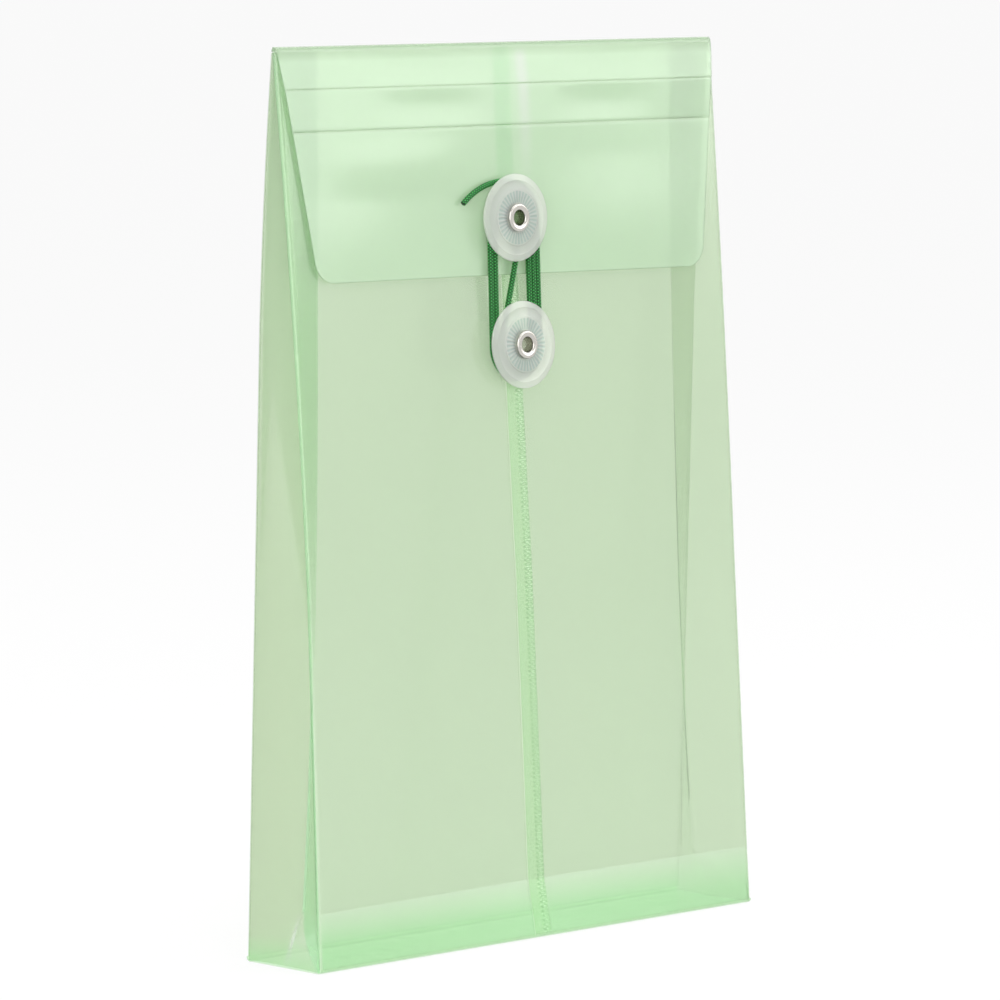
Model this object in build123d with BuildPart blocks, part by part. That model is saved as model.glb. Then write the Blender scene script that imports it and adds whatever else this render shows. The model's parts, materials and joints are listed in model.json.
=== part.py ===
from build123d import *

import os
from math import acos, atan, atan2, cos, degrees, pi, sin, sqrt

# A gusseted film envelope that stands upright on its folded base. Its flap comes over
# the front and is tied down by a string wound round two riveted button discs.
# The front faces -Y, the width runs along X, and the origin is the middle of the base.

# Envelope, in millimetres
face_width = 158.75
face_height = 235.0
base_depth = 28.5
top_set_back = 11.4  # from the base's rear edge forward to the top line
film = 0.3
film_clearance = 0.1  # between two layers of film
back_swing_clearance = 0.35  # under the rear panel, which swings over the base
fold_radius = 1.2  # outside of the fold along the top

# How far the front film stands forward of the top line, at its two sides and its middle.
# Each line is an arc down to the bend, then straight to the crease across the front,
# which is set back from the base's front edge.
bend_depth = 139.0
left_bend_reach = 13.4
left_bulge = 1.0
left_crease_set_back = 0.4
middle_bend_reach = 9.6
middle_hollow = 0.45
middle_crease_set_back = 2.9
right_bend_reach = 10.9
right_bulge = 0.5
right_crease_set_back = 1.0
flat_half_width = 12.0  # the film is flat this far to each side of the middle
side_bands = 4  # stretches of the film from there to its edge

# The rear film stands back of the top line in the same way
back_bend_depth = 70.0
back_bend_reach = 6.1
back_bulge = 0.45

# Seam where the film's two edges lap and are welded, down the middle of the front
lap_width = 3.0
weld_clearance = 0.05

# Side gussets, each a leaf folded in from the front and one from the rear
gusset_slack = 1.05  # a leaf is this much wider than half the base's depth
apex_drop = 1.3  # from the front crease down to where the leaves and the tuck meet
leaf_foot_width = 1.0
leaf_top_drop = 0.8  # the leaves end this far under the fold
leaf_level_shares = (0, 0.2, 0.4, 0.58, 0.73, 0.87, 1)
tuck_inset = 0.7  # the base tuck stops short of the leaves by this

# Flap, in three stretches between score lines. Its outside stands off the front film.
first_score_depth = 10.8
second_score_depth = 21.6
flap_depth = 61.4
flap_tip_width = 142.0
tip_left_rise = 1.4  # the tip's left corner hangs this much higher
flap_corner_radius = 5.5
first_score_left_standoff = 1.0
first_score_right_standoff = 0.97
second_score_left_standoff = 1.02
second_score_right_standoff = 0.56
tip_left_standoff = 0.86
tip_middle_standoff = 1.1
tip_right_standoff = 0.5

# Buttons: a moulded disc on a hub, riveted by an eyelet to a washer behind the film
upper_button_rise = 15.6  # above the flap's tip
button_spacing = 33.4
upper_button_aside = -1.2  # to the right of the middle
lower_button_aside = 0.8
disc_radius = 11.5
disc_thickness = 1.0
disc_rim_drop = 0.3
disc_step_radius = 7.4
disc_step = 0.2
hub_radius = 3.6
bore_radius = 2.45
bore_clearance = 0.05
eyelet_wall = 0.4
eyelet_flange_radius = 3.7
eyelet_flange_height = 0.8
rim_bands = 3  # flat bands round the rolled rim
clinch_radius = 3.5
clinch_height = 0.3
washer_radius = 5.0
washer_thickness = 0.3
seat_clearance = 0.1  # under a hub

# String, wound flat round both hubs between the discs and the film
string_diameter = 1.5
string_sides = 8
string_gap = 0.45  # between two turns
string_lift = 0.6  # clear under the string
string_headroom = 0.9  # and over it, up to the disc
hub_gap = 0.05
wound_turns = 3
turn_offset = 1.0  # the turns round the lower hub sit this far to its left
tail_reach = 16.9  # the free end, to the left of the upper button
tail_rise = 3.5  # and above it
tail_bend = 22.0  # radius of the free end's bend
start_turn_share = 0.55  # of a turn, where the tied end begins on the upper hub

overrun = 5.0  # of a cutting shape past what it cuts

# Derived places
half_width = face_width / 2
rear_y = base_depth / 2
front_y = -rear_y
top_y = rear_y - top_set_back
hinge_height = face_height - fold_radius
lap_start = -lap_width / 2
lap_lift = film + weld_clearance
mouth_reach = fold_radius - film - film_clearance
film_edge_height = hinge_height - film_clearance
floor_height = film + film_clearance
strip_foot = (front_y, floor_height)
leaf_width = base_depth / 2 + gusset_slack
crease_height = leaf_width  # the foot is folded from a flat tube, as deep as a leaf
gusset_apex_height = crease_height - apex_drop
tip_height = face_height - flap_depth
upper_button_height = tip_height + upper_button_rise
lower_button_height = upper_button_height - button_spacing
string_radius = string_diameter / 2
string_height = string_lift + string_radius
hub_height = string_lift + string_diameter + string_headroom


def film_line(side, edge_reach, bend_drop, bend_reach, bulge, foot):
    """Top, middle of the arc, bend, foot and base of a line down a panel, as (y, z)."""
    top = (top_y + side * edge_reach, film_edge_height)
    bend = (top_y + side * bend_reach, face_height - bend_drop)
    middle = ((top[0] + bend[0]) / 2 + side * bulge, (top[1] + bend[1]) / 2)
    return top, middle, bend, foot, (side * rear_y, 0)


def front_line(edge_reach, bend_reach, bulge, crease_set_back):
    foot = (front_y + crease_set_back, crease_height + film_clearance)
    return film_line(-1, edge_reach, bend_depth, bend_reach, bulge, foot)


def shifted(line, forward):
    return [(y - forward, z) for y, z in line]


def part_way(line, other, share):
    return [(y + (v - y) * share, z + (w - z) * share) for (y, z), (v, w) in zip(line, other)]


def film_y(line, height):
    """Where a line down a panel stands at a height."""
    top, middle, bend, foot, base = line
    if height < bend[1]:
        lower, upper = (foot, bend) if height > foot[1] else (base, foot)
        share = (height - lower[1]) / (upper[1] - lower[1])
        return lower[0] + share * (upper[0] - lower[0])
    arc = ThreePointArc(top, middle, bend)
    spread = sqrt(arc.radius**2 - (height - arc.arc_center.Y) ** 2)
    choices = (arc.arc_center.X - spread, arc.arc_center.X + spread)
    return min(choices, key=lambda y: abs(y - middle[0]))


def film_band(x, outside, inside):
    """Section of a panel at x, between two lines down it."""
    with BuildSketch(Plane.YZ.offset(x)) as band:
        with BuildLine():
            ThreePointArc(outside[0], outside[1], outside[2])
            Line(outside[2], outside[3])
            Line(outside[3], inside[3])
            Line(inside[3], inside[2])
            ThreePointArc(inside[2], inside[1], inside[0])
            Line(inside[0], outside[0])
        make_face()
    return band.sketch


def strip_band(x, upper, lower):
    """Section at x of a flat strip of film between two points of its outside."""
    with BuildSketch(Plane.YZ.offset(x)) as band:
        with BuildLine():
            inner = shifted((lower, upper), -film)
            Polyline(upper, lower, *inner, close=True)
        make_face()
    return band.sketch


def save(piece, name):
    piece.part.label = name
    export_step(piece.part, f"parts/{name}.step")
    print(f"{name}: {len(piece.part.solids())} solid, {piece.part.volume:.1f} mm3")


os.makedirs("parts", exist_ok=True)

left_line = front_line(mouth_reach, left_bend_reach, left_bulge, left_crease_set_back)
right_line = front_line(mouth_reach, right_bend_reach, right_bulge, right_crease_set_back)
seam_mouth_reach = mouth_reach - lap_lift
middle_line = front_line(
    seam_mouth_reach, middle_bend_reach, -middle_hollow, middle_crease_set_back
)
back_foot = (rear_y, film + back_swing_clearance)
back_line = film_line(1, fold_radius, back_bend_depth, back_bend_reach, back_bulge, back_foot)


def flap_reach(line, depth, standoff):
    """How far the flap's outside stands forward of the top line, over a line of the film."""
    return top_y - film_y(line, face_height - depth) + standoff


first_score_left_reach = flap_reach(left_line, first_score_depth, first_score_left_standoff)
first_score_right_reach = flap_reach(right_line, first_score_depth, first_score_right_standoff)
second_score_left_reach = flap_reach(left_line, second_score_depth, second_score_left_standoff)
second_score_right_reach = flap_reach(right_line, second_score_depth, second_score_right_standoff)
tip_left_reach = flap_reach(left_line, flap_depth, tip_left_standoff)
tip_middle_reach = flap_reach(middle_line, flap_depth, tip_middle_standoff)
tip_right_reach = flap_reach(right_line, flap_depth, tip_right_standoff)

# Seats of the two buttons: on the flap's outside, and on the front film's lapped seam
second_score_middle_reach = (second_score_left_reach + second_score_right_reach) / 2
flap_slope = (tip_middle_reach - second_score_middle_reach) / (flap_depth - second_score_depth)
upper_depth = face_height - upper_button_height
upper_reach = second_score_middle_reach + flap_slope * (upper_depth - second_score_depth)
slope_span = hub_radius  # the film's slope is taken over the hub
seam_rise = film_y(middle_line, lower_button_height + slope_span)
seam_fall = film_y(middle_line, lower_button_height - slope_span)
seam_slope = (seam_rise - seam_fall) / (2 * slope_span)
lower_y = film_y(middle_line, lower_button_height) - lap_lift


def seat_plane(x, y, z, slope):
    """Plane on film that leans forward by slope, facing out."""
    lean = atan(slope)
    return Plane(origin=(x, y, z), x_dir=(1, 0, 0), z_dir=(0, -cos(lean), sin(lean)))


upper_y = top_y - upper_reach
upper_seat = seat_plane(upper_button_aside, upper_y, upper_button_height, flap_slope)
lower_seat = seat_plane(lower_button_aside, lower_y, lower_button_height, seam_slope)


def eyelet_hole(seat):
    """Sketch of the hole for an eyelet, on the seat it goes through."""
    with BuildSketch(seat) as hole:
        Circle(bore_radius)
    return hole.sketch


def side_stations(side, line):
    """Places across the front film from an edge to its flat middle, with the line at each."""
    stations = []
    for band in range(side_bands + 1):
        share = band / side_bands
        x = side * (half_width + (flat_half_width - half_width) * share)
        stations.append((x, part_way(line, middle_line, share)))
    return stations


left_stations = side_stations(-1, left_line)
right_stations = side_stations(1, right_line)[::-1]

# Front film: its left half carries the lap, which lies over the right half's edge
with BuildPart() as front_panel_left:
    loft(
        [
            *[film_band(x, line, shifted(line, -film)) for x, line in left_stations],
            film_band(lap_start, middle_line, shifted(middle_line, -film)),
        ],
        ruled=True,
    )
    lap_line = shifted(middle_line, lap_lift)
    extrude(film_band(lap_start, lap_line, shifted(middle_line, -film)), amount=film)
    lap_under = shifted(middle_line, weld_clearance)
    extrude(film_band(lap_start + film, lap_line, lap_under), amount=lap_width - film)
    extrude(eyelet_hole(lower_seat), amount=overrun, both=True, mode=Mode.SUBTRACT)
save(front_panel_left, "front_panel_left")

with BuildPart() as front_panel_right:
    right_start = lap_start + film + film_clearance
    loft(
        [
            film_band(right_start, middle_line, shifted(middle_line, -film)),
            *[film_band(x, line, shifted(line, -film)) for x, line in right_stations],
        ],
        ruled=True,
    )
    extrude(eyelet_hole(lower_seat), amount=overrun, both=True, mode=Mode.SUBTRACT)
save(front_panel_right, "front_panel_right")

# Strip between the front crease and the base, pressed in along the crease
with BuildPart() as front_foot_strip:
    bands = []
    for x, line in left_stations + right_stations:
        strip_top = (line[3][0], crease_height)
        bands.append(strip_band(x, strip_top, strip_foot))
    loft(bands, ruled=True)
save(front_foot_strip, "front_foot_strip")

# Base
with BuildPart() as base_panel:
    with BuildSketch():
        Rectangle(face_width, base_depth)
    extrude(amount=film)
save(base_panel, "base_panel")

# Rear film
with BuildPart() as back_panel:
    extrude(film_band(-half_width, back_line, shifted(back_line, film)), amount=face_width)
save(back_panel, "back_panel")


# Gusset leaves: their width stays the same, so the fold between them goes further in
# where the front and the rear film come together
def leaf_section(side, line, towards_rear, height, width):
    """Section of a leaf at a height, from the panel's edge in to the middle fold."""
    inset = 2 * film + film_clearance
    front_edge = film_y(line, height) + inset
    rear_edge = film_y(back_line, height) - inset
    half_gap = (rear_edge - front_edge - film_clearance) / 2
    depth = sqrt(leaf_width**2 - half_gap**2)
    along = Vector(-side * depth, towards_rear * -half_gap) / leaf_width
    across = Vector(-side * half_gap, towards_rear * depth) / leaf_width
    edge = Vector(side * half_width, rear_edge if towards_rear > 0 else front_edge)
    fold = edge + along * width
    corners = (edge, fold, fold + across * film, edge + across * film)
    with BuildSketch(Plane.XY.offset(height)) as section:
        with BuildLine():
            Polyline(*[(corner.X, corner.Y) for corner in corners], close=True)
        make_face()
    return section.sketch


leaf_top = film_edge_height - leaf_top_drop
leaf_rise = leaf_top - gusset_apex_height
leaf_heights = [gusset_apex_height + share * leaf_rise for share in leaf_level_shares]
foot_height = floor_height + film_clearance
for side, side_name, line in ((-1, "left", left_line), (1, "right", right_line)):
    for towards_rear, leaf_name in ((-1, "front"), (1, "rear")):
        with BuildPart() as leaf:
            foot = leaf_section(side, line, towards_rear, foot_height, leaf_foot_width)
            leaves = [foot]
            for height in leaf_heights:
                leaves.append(leaf_section(side, line, towards_rear, height, leaf_width))
            loft(leaves, ruled=True)
        save(leaf, f"{side_name}_gusset_{leaf_name}_leaf")

    # Triangular tuck between the two leaves and the base
    apex_in = sqrt(leaf_width**2 - (base_depth / 2 - 2 * film) ** 2)
    tuck_rise = gusset_apex_height - floor_height - film
    tuck_length = sqrt(apex_in**2 + tuck_rise**2)
    tuck_face = Vector(side * tuck_rise, 0, apex_in)
    tuck_origin = (side * half_width, 0, floor_height + film)
    tuck_plane = Plane(origin=tuck_origin, x_dir=(0, side, 0), z_dir=tuck_face)
    tuck_half = base_depth / 2 - 2 * film - tuck_inset
    with BuildPart() as tuck:
        with BuildSketch(tuck_plane):
            with BuildLine():
                tuck_tip = tuck_length - 2 * tuck_inset
                Polyline((-tuck_half, 0), (tuck_half, 0), (0, tuck_tip), close=True)
            make_face()
        extrude(amount=-film)
    save(tuck, f"{side_name}_base_tuck")

# Fold over the top, where the rear film turns forward into the flap
with BuildPart() as top_fold:
    with BuildSketch(Plane.YZ.offset(-half_width)):
        with Locations((top_y, hinge_height)):
            Circle(fold_radius)
            Circle(fold_radius - film, mode=Mode.SUBTRACT)
        with Locations((top_y, hinge_height)):
            cut_size = 2 * fold_radius
            Rectangle(2 * cut_size, cut_size, align=(Align.CENTER, Align.MAX), mode=Mode.SUBTRACT)
    extrude(amount=face_width)
save(top_fold, "top_fold")


def flap_outline():
    """The flap's cut shape, seen from the front."""
    with BuildSketch(Plane.XZ) as outline:
        with BuildLine():
            Polyline(
                (-half_width, face_height),
                (-flap_tip_width / 2, tip_height + tip_left_rise),
                (flap_tip_width / 2, tip_height),
                (half_width, face_height),
                close=True,
            )
        make_face()
        fillet(outline.vertices().group_by(Axis.Z)[0], flap_corner_radius)
    return outline.sketch


def flap_strip(name, stations, holes=()):
    """A stretch of the flap between points (x, upper, lower), cut to the outline."""
    with BuildPart() as strip:
        loft([strip_band(x, upper, lower) for x, upper, lower in stations], ruled=True)
        extrude(flap_outline(), amount=base_depth, both=True, mode=Mode.INTERSECT)
        for seat in holes:
            extrude(eyelet_hole(seat), amount=overrun, both=True, mode=Mode.SUBTRACT)
    save(strip, name)


def flap_point(reach, depth):
    return (top_y - reach, face_height - depth)


score_gap = film_clearance / 2
above_first = first_score_depth - score_gap
below_first = first_score_depth + score_gap
above_second = second_score_depth - score_gap
below_second = second_score_depth + score_gap
flap_start = flap_point(fold_radius, fold_radius + film_clearance)
left_first = (first_score_left_reach, second_score_left_reach)
right_first = (first_score_right_reach, second_score_right_reach)

first_stations = []
second_stations = []
for x, (first_reach, second_reach) in ((-half_width, left_first), (half_width, right_first)):
    first_stations.append((x, flap_start, flap_point(first_reach, above_first)))
    upper = flap_point(first_reach, below_first)
    second_stations.append((x, upper, flap_point(second_reach, above_second)))
flap_strip("flap_top_strip", first_stations)
flap_strip("flap_middle_strip", second_stations)

tip_stations = []
score_slope = (second_score_right_reach - second_score_left_reach) / face_width
for x, tip_reach in (
    (-half_width, tip_left_reach),
    (-flat_half_width, tip_middle_reach),
    (flat_half_width, tip_middle_reach),
    (half_width, tip_right_reach),
):
    upper = flap_point(second_score_middle_reach + score_slope * x, below_second)
    tip_stations.append((x, upper, flap_point(tip_reach, flap_depth)))
flap_strip("flap_panel", tip_stations, holes=(upper_seat,))


def axial_plane(seat):
    """Plane through a button's axis: across is the radius, up is along the axis."""
    return Plane(origin=seat.origin, x_dir=seat.x_dir, z_dir=seat.y_dir * -1)


def turned(outline, seat):
    """Solid of an outline, in radius and height, turned about a button's axis."""
    with BuildPart() as piece:
        with BuildSketch(axial_plane(seat)):
            with BuildLine():
                Polyline(*outline, close=True)
            make_face()
        revolve(axis=Axis(seat.origin, seat.z_dir))
    return piece


disc_bore = bore_radius + bore_clearance
disc_top = hub_height + disc_thickness
step_height = disc_top - disc_step
disc_outline = (
    (disc_bore, seat_clearance),
    (hub_radius, seat_clearance),
    (hub_radius, hub_height),
    (disc_radius, hub_height - disc_rim_drop),
    (disc_radius, disc_top - disc_rim_drop - disc_step),
    (disc_step_radius + disc_step, step_height),
    (disc_step_radius, disc_top),
    (disc_bore, disc_top),
)
tube_outside = bore_radius - bore_clearance
tube_inside = tube_outside - eyelet_wall
flange_foot = disc_top + bore_clearance
flange_top = flange_foot + eyelet_flange_height
rim_round = eyelet_flange_height / 2
rim_middle = eyelet_flange_radius - rim_round
rolled_rim = []
for band in range(rim_bands + 1):
    angle = pi * (band / rim_bands - 1 / 2)
    height = flange_foot + rim_round + rim_round * sin(angle)
    rolled_rim.append((rim_middle + rim_round * cos(angle), height))

for name, seat, layers in (
    ("upper", upper_seat, film),
    ("lower", lower_seat, film + lap_lift),
):
    save(turned(disc_outline, seat), f"{name}_disc")

    washer_top = -layers - film_clearance
    washer_foot = washer_top - washer_thickness
    washer_outline = (
        (disc_bore, washer_foot),
        (washer_radius, washer_foot),
        (washer_radius, washer_top),
        (disc_bore, washer_top),
    )
    save(turned(washer_outline, seat), f"{name}_washer")

    # Tube with a rolled flange over the disc and a clinched one under the washer
    clinch_top = washer_foot - bore_clearance
    clinch_foot = clinch_top - clinch_height
    eyelet_outline = (
        (tube_inside, clinch_foot),
        (clinch_radius, clinch_foot),
        (clinch_radius, clinch_top),
        (tube_outside, clinch_top),
        (tube_outside, flange_foot),
        *rolled_rim,
        (tube_inside + rim_round, flange_top),
        (tube_inside, flange_foot + rim_round),
    )
    save(turned(eyelet_outline, seat), f"{name}_eyelet")

# String: tied round the upper hub, it crosses to the left of the lower one and then
# winds outward round both, each turn one step further out, to a free end on the left
upper_on_string = upper_seat.origin + upper_seat.z_dir * string_height
lower_on_string = lower_seat.origin + lower_seat.z_dir * string_height
post_line = upper_on_string - lower_on_string
string_middle = (upper_on_string + lower_on_string) / 2
winding_face = Vector(1, 0, 0).cross(post_line).normalized()
winding_across = post_line.cross(winding_face)
winding_plane = Plane(origin=string_middle, x_dir=winding_across, z_dir=winding_face)
spacing = post_line.length
upper_post = Vector(0, spacing / 2)
lower_post = Vector(-turn_offset, -spacing / 2)
first_turn = hub_radius + hub_gap + string_radius
turn_step = string_diameter + string_gap


def turn_radius(turn):
    return first_turn + turn * turn_step


def touch_angle(start, start_radius, end, end_radius, side):
    """Where a straight stretch leaves its first turn; a crossing one ends on a radius below 0."""
    between = end - start
    turn = acos((start_radius - end_radius) / between.length)
    return degrees(atan2(between.Y, between.X) + side * turn)


def on_turn(post, radius, angle):
    return post + Vector(radius, 0).rotate(Axis.Z, angle)


def half_arcs(post, radius, angle, sweep_angle):
    """A turn round a post as two arcs, within the line being built."""
    CenterArc(post, radius, angle, sweep_angle / 2)
    CenterArc(post, radius, angle + sweep_angle / 2, sweep_angle / 2)


with BuildPart() as string:
    with BuildLine() as route:
        # The tied end goes clockwise round the upper hub and leaves it on the right
        lower_first = first_turn + turn_offset
        cross_angle = touch_angle(upper_post, first_turn, lower_post, -lower_first, 1)
        start_sweep = -360 * start_turn_share
        half_arcs(upper_post, first_turn, cross_angle - start_sweep, start_sweep)
        enter_angle = 180 + cross_angle
        cross_start = on_turn(upper_post, first_turn, cross_angle)
        Line(cross_start, on_turn(lower_post, lower_first, enter_angle))
        for turn in range(wound_turns):
            # Round the lower post, then up the right to the upper one, a step further out
            inner = turn_radius(turn) + turn_offset
            outer = turn_radius(turn + 1)
            rise_angle = touch_angle(lower_post, inner, upper_post, outer, -1)
            half_arcs(lower_post, inner, enter_angle, 360 + rise_angle - enter_angle)
            rise_start = on_turn(lower_post, inner, rise_angle)
            Line(rise_start, on_turn(upper_post, outer, rise_angle))
            # Over the upper post and down the left, but for the last turn
            if turn < wound_turns - 1:
                below = outer + turn_offset
                enter_angle = 360 + touch_angle(upper_post, outer, lower_post, below, -1)
                half_arcs(upper_post, outer, rise_angle, enter_angle - rise_angle)
                fall_start = on_turn(upper_post, outer, enter_angle)
                Line(fall_start, on_turn(lower_post, below, enter_angle))

        # The last turn opens out over the upper post into a wider bend to the free end
        tail = Vector(-tail_reach, tail_rise)
        bend_offset = tail_bend - outer
        spread = tail_bend**2 - tail.length**2 - bend_offset**2
        leave_turn = acos(spread / (2 * bend_offset * tail.length))
        leave_angle = degrees(atan2(tail.Y, tail.X) - leave_turn)
        half_arcs(upper_post, outer, rise_angle, leave_angle - rise_angle)
        bend_centre = on_turn(upper_post, -bend_offset, leave_angle)
        from_centre = upper_post + tail - bend_centre
        end_angle = degrees(atan2(from_centre.Y, from_centre.X))
        CenterArc(bend_centre, tail_bend, leave_angle, end_angle - leave_angle)
    string_path = winding_plane.from_local_coords(route.wire())
    with BuildSketch(Plane(origin=string_path @ 0, z_dir=string_path % 0)) as string_section:
        RegularPolygon(string_radius, string_sides)
    sweep(path=string_path)
save(string, "string")

# The string's volume against its section and length, and its least gap to itself
string_length = string_path.length
section_volume = string_section.sketch.area * string_length
print(f"string length {string_length:.1f} mm, volume {string.part.volume:.1f}", end=" ")
print(f"against {section_volume:.1f} mm3, tightest bend {first_turn:.2f} mm")
step_count = int(string_length / string_radius)
path_points = [string_path @ (k / step_count) for k in range(step_count + 1)]
apart = int(pi * first_turn / string_radius)
least_gap = min(
    (path_points[i] - path_points[j]).length - string_diameter
    for i in range(step_count + 1)
    for j in range(i + apart, step_count + 1)
)
print(f"least gap of the string to itself {least_gap:.2f} mm")
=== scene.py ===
import json
from math import acos, atan2, cos, pi, radians, sin, sqrt, tan

import bpy
from mathutils import Matrix, Vector


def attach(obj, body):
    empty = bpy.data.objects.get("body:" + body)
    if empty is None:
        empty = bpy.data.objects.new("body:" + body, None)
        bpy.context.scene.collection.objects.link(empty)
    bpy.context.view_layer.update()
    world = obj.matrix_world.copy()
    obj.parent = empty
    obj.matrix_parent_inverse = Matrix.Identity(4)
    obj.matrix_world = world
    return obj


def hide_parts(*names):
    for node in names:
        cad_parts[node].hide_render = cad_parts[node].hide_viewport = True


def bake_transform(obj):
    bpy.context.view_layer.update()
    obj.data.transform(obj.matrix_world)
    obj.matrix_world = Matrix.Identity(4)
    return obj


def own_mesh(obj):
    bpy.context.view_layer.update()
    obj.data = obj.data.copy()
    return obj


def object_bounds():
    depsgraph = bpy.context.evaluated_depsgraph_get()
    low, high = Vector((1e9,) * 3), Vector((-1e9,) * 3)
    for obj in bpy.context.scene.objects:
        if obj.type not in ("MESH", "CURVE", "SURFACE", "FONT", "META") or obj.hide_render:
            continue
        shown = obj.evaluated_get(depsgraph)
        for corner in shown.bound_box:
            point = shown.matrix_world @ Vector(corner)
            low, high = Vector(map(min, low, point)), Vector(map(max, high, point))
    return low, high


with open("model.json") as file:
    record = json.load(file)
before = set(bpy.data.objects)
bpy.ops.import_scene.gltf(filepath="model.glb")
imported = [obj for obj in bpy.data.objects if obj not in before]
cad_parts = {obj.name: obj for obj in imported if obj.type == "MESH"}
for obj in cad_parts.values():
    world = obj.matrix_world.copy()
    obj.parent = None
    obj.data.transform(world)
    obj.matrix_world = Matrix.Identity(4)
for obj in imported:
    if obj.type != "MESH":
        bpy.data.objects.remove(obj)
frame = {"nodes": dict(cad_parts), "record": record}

cadLow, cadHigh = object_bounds()
scene = bpy.context.scene
mm = 0.001  # sizes below are in millimetres, angles in degrees
print("frame loaded,", len(frame["nodes"]), "nodes")


# camera at the photograph's angle: from the front left, a little above
cameraSet = {
    "yaw": 44.21,
    "pitch": 5.69,
    "distance": 1585,
    "target": (0, 2.85, 117),
    "focalPixels": 6017,
    "imagePixels": 1000,
    "centrePixel": (498.4, 490.7),
    "sensor": 36.0,
}
lookTarget = Vector(cameraSet["target"]) * mm


def addCamera(c):
    data = bpy.data.cameras.new("camera")
    data.sensor_width = c["sensor"]
    data.lens = c["sensor"] * c["focalPixels"] / c["imagePixels"]
    middle = c["imagePixels"] / 2
    data.shift_x = (middle - c["centrePixel"][0]) / c["imagePixels"]
    data.shift_y = (c["centrePixel"][1] - middle) / c["imagePixels"]
    data.clip_end = 50
    yaw, pitch = radians(c["yaw"]), radians(c["pitch"])
    look = Vector((sin(yaw) * cos(pitch), cos(yaw) * cos(pitch), -sin(pitch)))
    camera = bpy.data.objects.new("camera", data)
    camera.location = lookTarget - look * c["distance"] * mm
    camera.rotation_euler = look.to_track_quat("-Z", "Y").to_euler()
    scene.collection.objects.link(camera)
    scene.camera = camera


addCamera(cameraSet)
print("camera placed")


# floor, world and lamps
stageSet = {
    "floorSize": 30.0,
    "floorDiffuse": 0.2,
    "floorGlow": 0.85,
    "worldShade": 0.5,
    "lamps": {
        # place, size and power
        "key": ((1.05, -1.05, 0.66), 0.75, 4.0),
        "fill": ((-0.9, -0.8, 0.5), 1.2, 8.0),
        "top": ((0.1, -0.1, 1.3), 1.0, 4.0),
    },
}


def seenRays(nodes, links):
    # 1 for what the camera sees: straight, mirrored or through the film
    path = nodes.new("ShaderNodeLightPath")
    seen = path.outputs["Is Camera Ray"]
    for ray in ("Is Glossy Ray", "Is Transmission Ray"):
        either = nodes.new("ShaderNodeMath")
        either.operation = "MAXIMUM"
        links.new(seen, either.inputs[0])
        links.new(path.outputs[ray], either.inputs[1])
        seen = either.outputs[0]
    return seen


def seenLevel(nodes, links, other, seen, strength):
    level = nodes.new("ShaderNodeMapRange")
    level.inputs["To Min"].default_value = other
    level.inputs["To Max"].default_value = seen
    links.new(seenRays(nodes, links), level.inputs["Value"])
    links.new(level.outputs["Result"], strength)


def addStage(s):
    world = bpy.data.worlds.new("studio")
    scene.world = world
    world.use_nodes = True
    nodes, links = world.node_tree.nodes, world.node_tree.links
    background = nodes["Background"]
    background.inputs["Color"].default_value = (1, 1, 1, 1)
    seenLevel(nodes, links, s["worldShade"], 1, background.inputs["Strength"])

    bpy.ops.object.select_all(action="DESELECT")
    bpy.ops.mesh.primitive_plane_add(size=s["floorSize"])
    floor = bpy.context.object
    floor.name = "floor"
    material = bpy.data.materials.new("paleFloor")
    material.use_nodes = True
    nodes, links = material.node_tree.nodes, material.node_tree.links
    nodes.remove(nodes["Principled BSDF"])
    diffuse = nodes.new("ShaderNodeBsdfDiffuse")
    diffuse.inputs["Color"].default_value = (s["floorDiffuse"],) * 3 + (1,)
    glow = nodes.new("ShaderNodeEmission")
    seenLevel(nodes, links, 0, s["floorGlow"], glow.inputs["Strength"])
    both = nodes.new("ShaderNodeAddShader")
    links.new(diffuse.outputs[0], both.inputs[0])
    links.new(glow.outputs[0], both.inputs[1])
    links.new(both.outputs[0], nodes["Material Output"].inputs["Surface"])
    floor.data.materials.append(material)

    for name, (place, size, power) in s["lamps"].items():
        data = bpy.data.lights.new(name, "AREA")
        data.size = size
        data.energy = power
        lamp = bpy.data.objects.new(name, data)
        lamp.location = place
        lamp.rotation_euler = (lookTarget - lamp.location).to_track_quat("-Z", "Y").to_euler()
        scene.collection.objects.link(lamp)
    scene.view_settings.view_transform = "Standard"


addStage(stageSet)
print("stage set")


# finishes
finishSet = {
    "film": {
        "colour": (0.805, 0.878, 0.755, 1),
        "roughness": 0.16,
        "transmission": 0.86,
        "milkyRoughness": 0.2,  # where a sheet's surface is soft and milky
        "milkyTransmission": 0.64,
        "bend": 1.03,  # little refraction, so that the edges stay light
        "coatBend": 1.49,
        "absorbColour": (0.25, 0.88, 0.12, 1),
        "absorbDensity": 100.0,
        "grainScale": 1800.0,
        "grainStrength": 0.04,
    },
    "disc": {
        "colour": (0.98, 1.0, 0.95, 1),
        "ribShadeColour": (0.72, 0.84, 0.8, 1),
        "roughness": 0.25,
        "transmission": 0.6,
        "bend": 1.05,
        "coatBend": 1.49,
        "grainScale": 2500.0,
        "grainStrength": 0.05,
    },
    "eyelet": {
        "colour": (0.56, 0.54, 0.5, 1),
        "roughness": (0.1, 0.22),
        "scratchScale": 1500.0,
    },
    "string": {
        # painted shade in the grooves between plaits, painted highlight on the plaits' crests
        "grooveShade": (0.002, 0.045, 0.006, 1),
        "plait": (0.08, 0.8, 0.14, 1),
        "rampEnds": (0.35, 0.85),
        "roughness": 0.6,
        "sheen": 0.03,
        "fibreScale": 9000.0,
        "fibreStrength": 0.25,
    },
}


def newMaterial(name):
    material = bpy.data.materials.new(name)
    material.use_nodes = True
    nodes, links = material.node_tree.nodes, material.node_tree.links
    return material, nodes, links, nodes["Principled BSDF"]


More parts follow.
